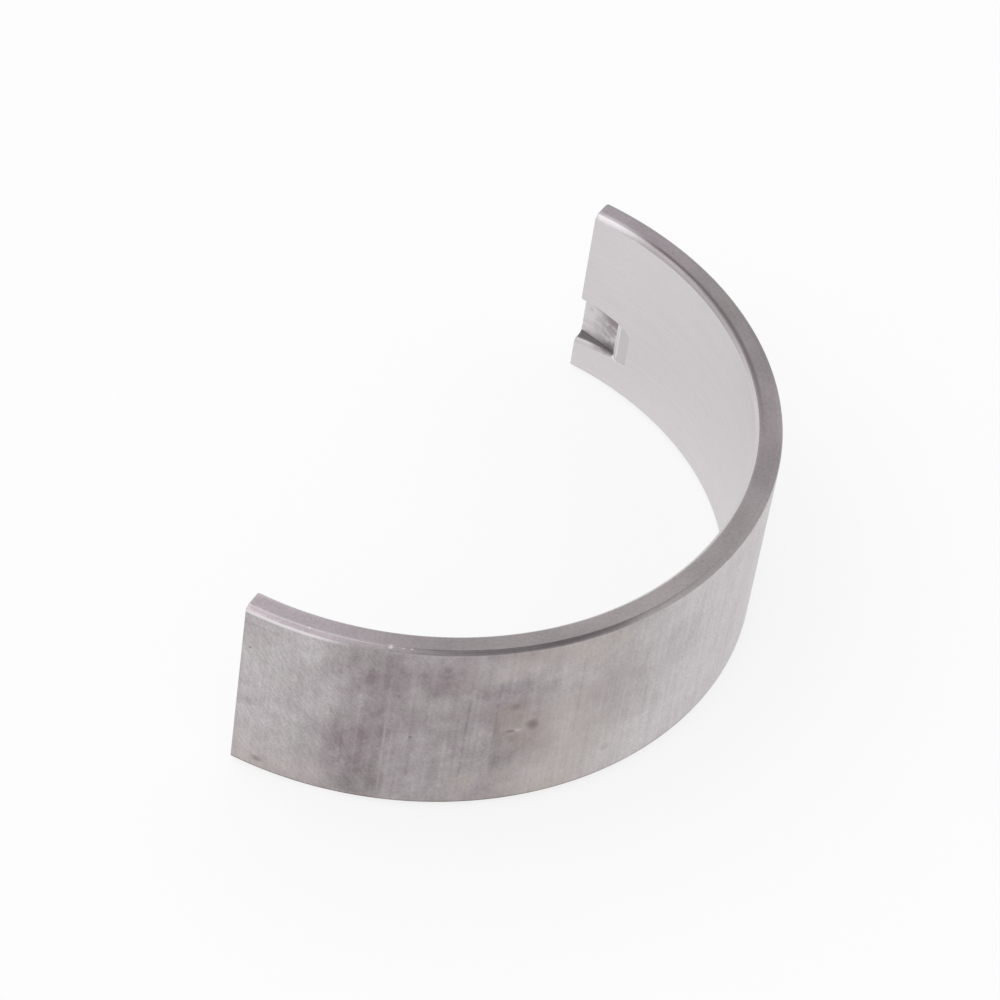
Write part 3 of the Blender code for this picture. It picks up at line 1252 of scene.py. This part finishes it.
def broached_parting(colours, sizes, layout):
    """Broached parting faces: bright steel with fine lines across the wall.

    The lining shows as a pale strip at the bore, with its bond as a thin dark line.
    """
    material, tree, shader = metal("broached_steel_parting", 0.34)
    strip = strip_places(tree, layout)
    # Lines left by the broach, coarser than real so that they show
    lines = mottling(tree, strip.unrolled, (1.0, 6.0, 0.14), detail=2.0)
    bond = (layout.bore + sizes.lining) / MM
    # Each mask rises from 0 to 1 between two radii in millimetres
    mask = {}
    for name, (value, start, end) in {
        "lining": (strip.radius, bond + 0.02, bond - 0.02),
        "past_bond": (strip.radius, bond - 0.05, bond),
        "near_bond": (strip.radius, bond + 0.05, bond),
    }.items():
        mask[name] = add_node(
            tree,
            "ShaderNodeMapRange",
            {"Value": value, "From Min": start, "From Max": end},
            interpolation_type="SMOOTHSTEP",
        )
    surface = lay_colours(
        tree,
        shade_colour(tree, colours.parting, ((lines, 0.07),)),
        (
            ((mask["lining"],), 1.0, colours.lining),
            ((mask["past_bond"], mask["near_bond"]), 0.6, colours.bond),
        ),
    )
    finish_metal(tree, shader, surface, lines, depth=0.8e-6)
    return material


def floor_material(stage):
    """Matt white sweep: the camera and the metal see it almost white, shadow kept."""
    material = bpy.data.materials.new("matt_white_sweep")
    material.use_nodes = True
    tree = material.node_tree
    shader = tree.nodes["Principled BSDF"]
    shader.inputs["Base Color"].default_value = (*stage.floor_colour, 1.0)
    shader.inputs["Roughness"].default_value = 1.0
    shader.inputs["Specular IOR Level"].default_value = 0.0
    path = add_node(tree, "ShaderNodeLightPath").outputs
    seen = add_node(
        tree,
        "ShaderNodeMath",
        {0: path["Is Camera Ray"], 1: path["Is Glossy Ray"]},
        operation="MAXIMUM",
    )
    share = add_node(
        tree, "ShaderNodeMath", {0: seen, 1: WHITE_SHARE}, operation="MULTIPLY"
    )
    white = add_node(
        tree, "ShaderNodeEmission", {"Color": (1.0, 1.0, 1.0, 1.0), "Strength": 1.0}
    )
    mixed = add_node(
        tree, "ShaderNodeMixShader", {0: share, 1: shader.outputs["BSDF"], 2: white}
    )
    output = tree.nodes["Material Output"]
    tree.links.new(mixed.outputs["Shader"], output.inputs["Surface"])
    return material


def light_tent(stage):
    """A pale, even tent all round, dimmer at its open top."""
    world = bpy.data.worlds.new("light_tent")
    world.use_nodes = True
    tree = world.node_tree
    towards = add_node(tree, "ShaderNodeTexCoord").outputs["Generated"]
    rise = add_node(tree, "ShaderNodeSeparateXYZ", {"Vector": towards}).outputs["Z"]
    ramp = add_node(tree, "ShaderNodeValToRGB", {"Fac": rise})
    set_stops(
        ramp,
        (
            (0.0, stage.tent_colour),
            (math.sin(OPENING_STARTS), stage.tent_colour),
            (math.sin(OPENING_FULL), stage.opening_colour),
            (1.0, stage.opening_colour),
        ),
    )
    background = tree.nodes["Background"]
    tree.links.new(ramp.outputs["Color"], background.inputs["Color"])
    background.inputs["Strength"].default_value = 1.0
    bpy.context.scene.world = world


def direction(azimuth, elevation):
    """Unit vector from an azimuth about +Z, taken from +X, and an elevation."""
    level = math.cos(elevation)
    return Vector(
        (level * math.cos(azimuth), level * math.sin(azimuth), math.sin(elevation))
    )


def aim_from(obj, target, towards, distance, roll=0.0):
    """Place an object a distance off in a direction, looking back at the target."""
    look = (-towards).to_track_quat("-Z", "Y").to_matrix()
    turned = look @ Matrix.Rotation(roll, 3, "Z")
    obj.matrix_world = Matrix.Translation(target + towards * distance) @ turned.to_4x4()


class BEARING_OT_shell(bpy.types.Operator):
    """Build the bearing shell: lined strip, tang with its recess, and nicks"""

    bl_idname = "bearing.shell"
    bl_label = "Bearing Shell"
    bl_options = {"REGISTER", "UNDO"}

    def execute(self, context):
        sizes = context.scene.bearing_sizes
        colours = context.scene.bearing_colours
        layout = strip_layout(sizes)
        shell = make_strip(sizes, layout)
        combine(shell, make_tang(sizes, layout), "UNION")
        combine(shell, make_punch(sizes, layout), "DIFFERENCE")
        seed = context.scene.bearing_stage.seed
        combine(shell, make_relief(sizes, layout, seed), "DIFFERENCE")
        combine(shell, make_nicks(layout), "DIFFERENCE")
        shell.data.materials.clear()
        for finish in (
            bored_lining(colours, sizes, layout),
            ground_side(colours, sizes, layout),
            steel_back(colours, layout),
            broached_parting(colours, sizes, layout),
        ):
            shell.data.materials.append(finish)
        finish_mesh(shell, sizes, layout)
        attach(shell, "root")
        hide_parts(SHELL_NODE)
        return {"FINISHED"}


class BEARING_OT_stage(bpy.types.Operator):
    """Set the floor, the light tent, the soft panel and the camera"""

    bl_idname = "bearing.stage"
    bl_label = "Stage"
    bl_options = {"REGISTER", "UNDO"}

    def execute(self, context):
        scene = context.scene
        stage = scene.bearing_stage
        bm = bmesh.new()
        bmesh.ops.create_grid(bm, x_segments=1, y_segments=1, size=stage.floor_half)
        drop = Vector((0.0, 0.0, -stage.floor_gap))
        bmesh.ops.translate(bm, vec=drop, verts=bm.verts[:])
        mesh = bpy.data.meshes.new("floor_sweep")
        bm.to_mesh(mesh)
        bm.free()
        mesh.materials.append(floor_material(stage))
        floor = bpy.data.objects.new("floor_sweep", mesh)
        scene.collection.objects.link(floor)
        light_tent(stage)
        aim = Vector(stage.aim)
        panel_data = bpy.data.lights.new("soft_panel", "AREA")
        panel_data.shape = "SQUARE"
        panel_data.size = stage.panel_side
        panel_data.energy = stage.panel_power
        panel = bpy.data.objects.new("soft_panel", panel_data)
        scene.collection.objects.link(panel)
        towards_panel = direction(stage.panel_azimuth, stage.panel_elevation)
        aim_from(panel, aim, towards_panel, stage.panel_distance)
        camera_data = bpy.data.cameras.new("photo_camera")
        camera_data.sensor_width = SENSOR_WIDTH
        camera_data.lens = stage.lens
        camera_data.clip_start = NEAREST_SEEN
        camera = bpy.data.objects.new("photo_camera", camera_data)
        scene.collection.objects.link(camera)
        towards_camera = direction(stage.camera_azimuth, stage.camera_elevation)
        roll = stage.camera_roll
        aim_from(camera, aim, towards_camera, stage.camera_distance, roll)
        scene.camera = camera
        scene.view_settings.view_transform = "Standard"
        return {"FINISHED"}


class BEARING_PT_panel(bpy.types.Panel):
    """Sidebar panel with the bearing shell's operators and settings."""

    bl_idname = "BEARING_PT_panel"
    bl_label = "Bearing Shell"
    bl_space_type = "VIEW_3D"
    bl_region_type = "UI"
    bl_category = "Bearing Shell"

    def draw(self, context):
        scene = context.scene
        self.layout.operator(BEARING_OT_shell.bl_idname)
        self.layout.operator(BEARING_OT_stage.bl_idname)
        for settings in (
            scene.bearing_sizes,
            scene.bearing_colours,
            scene.bearing_stage,
        ):
            column = self.layout.box().column()
            for name in settings.__annotations__:
                column.prop(settings, name)


CLASSES = (
    ShellSizes,
    ShellColours,
    StageSettings,
    BEARING_OT_shell,
    BEARING_OT_stage,
    BEARING_PT_panel,
)


def register():
    """Register the classes and attach the settings to the scene."""
    for cls in CLASSES:
        bpy.utils.register_class(cls)
    bpy.types.Scene.bearing_sizes = PointerProperty(type=ShellSizes)
    bpy.types.Scene.bearing_colours = PointerProperty(type=ShellColours)
    bpy.types.Scene.bearing_stage = PointerProperty(type=StageSettings)


def unregister():
    """Detach the settings and unregister the classes."""
    del bpy.types.Scene.bearing_stage
    del bpy.types.Scene.bearing_colours
    del bpy.types.Scene.bearing_sizes
    for cls in reversed(CLASSES):
        bpy.utils.unregister_class(cls)


def main():
    """Build everything in order."""
    register()
    bpy.ops.bearing.shell()
    bpy.ops.bearing.stage()


if __name__ == "__main__":
    main()
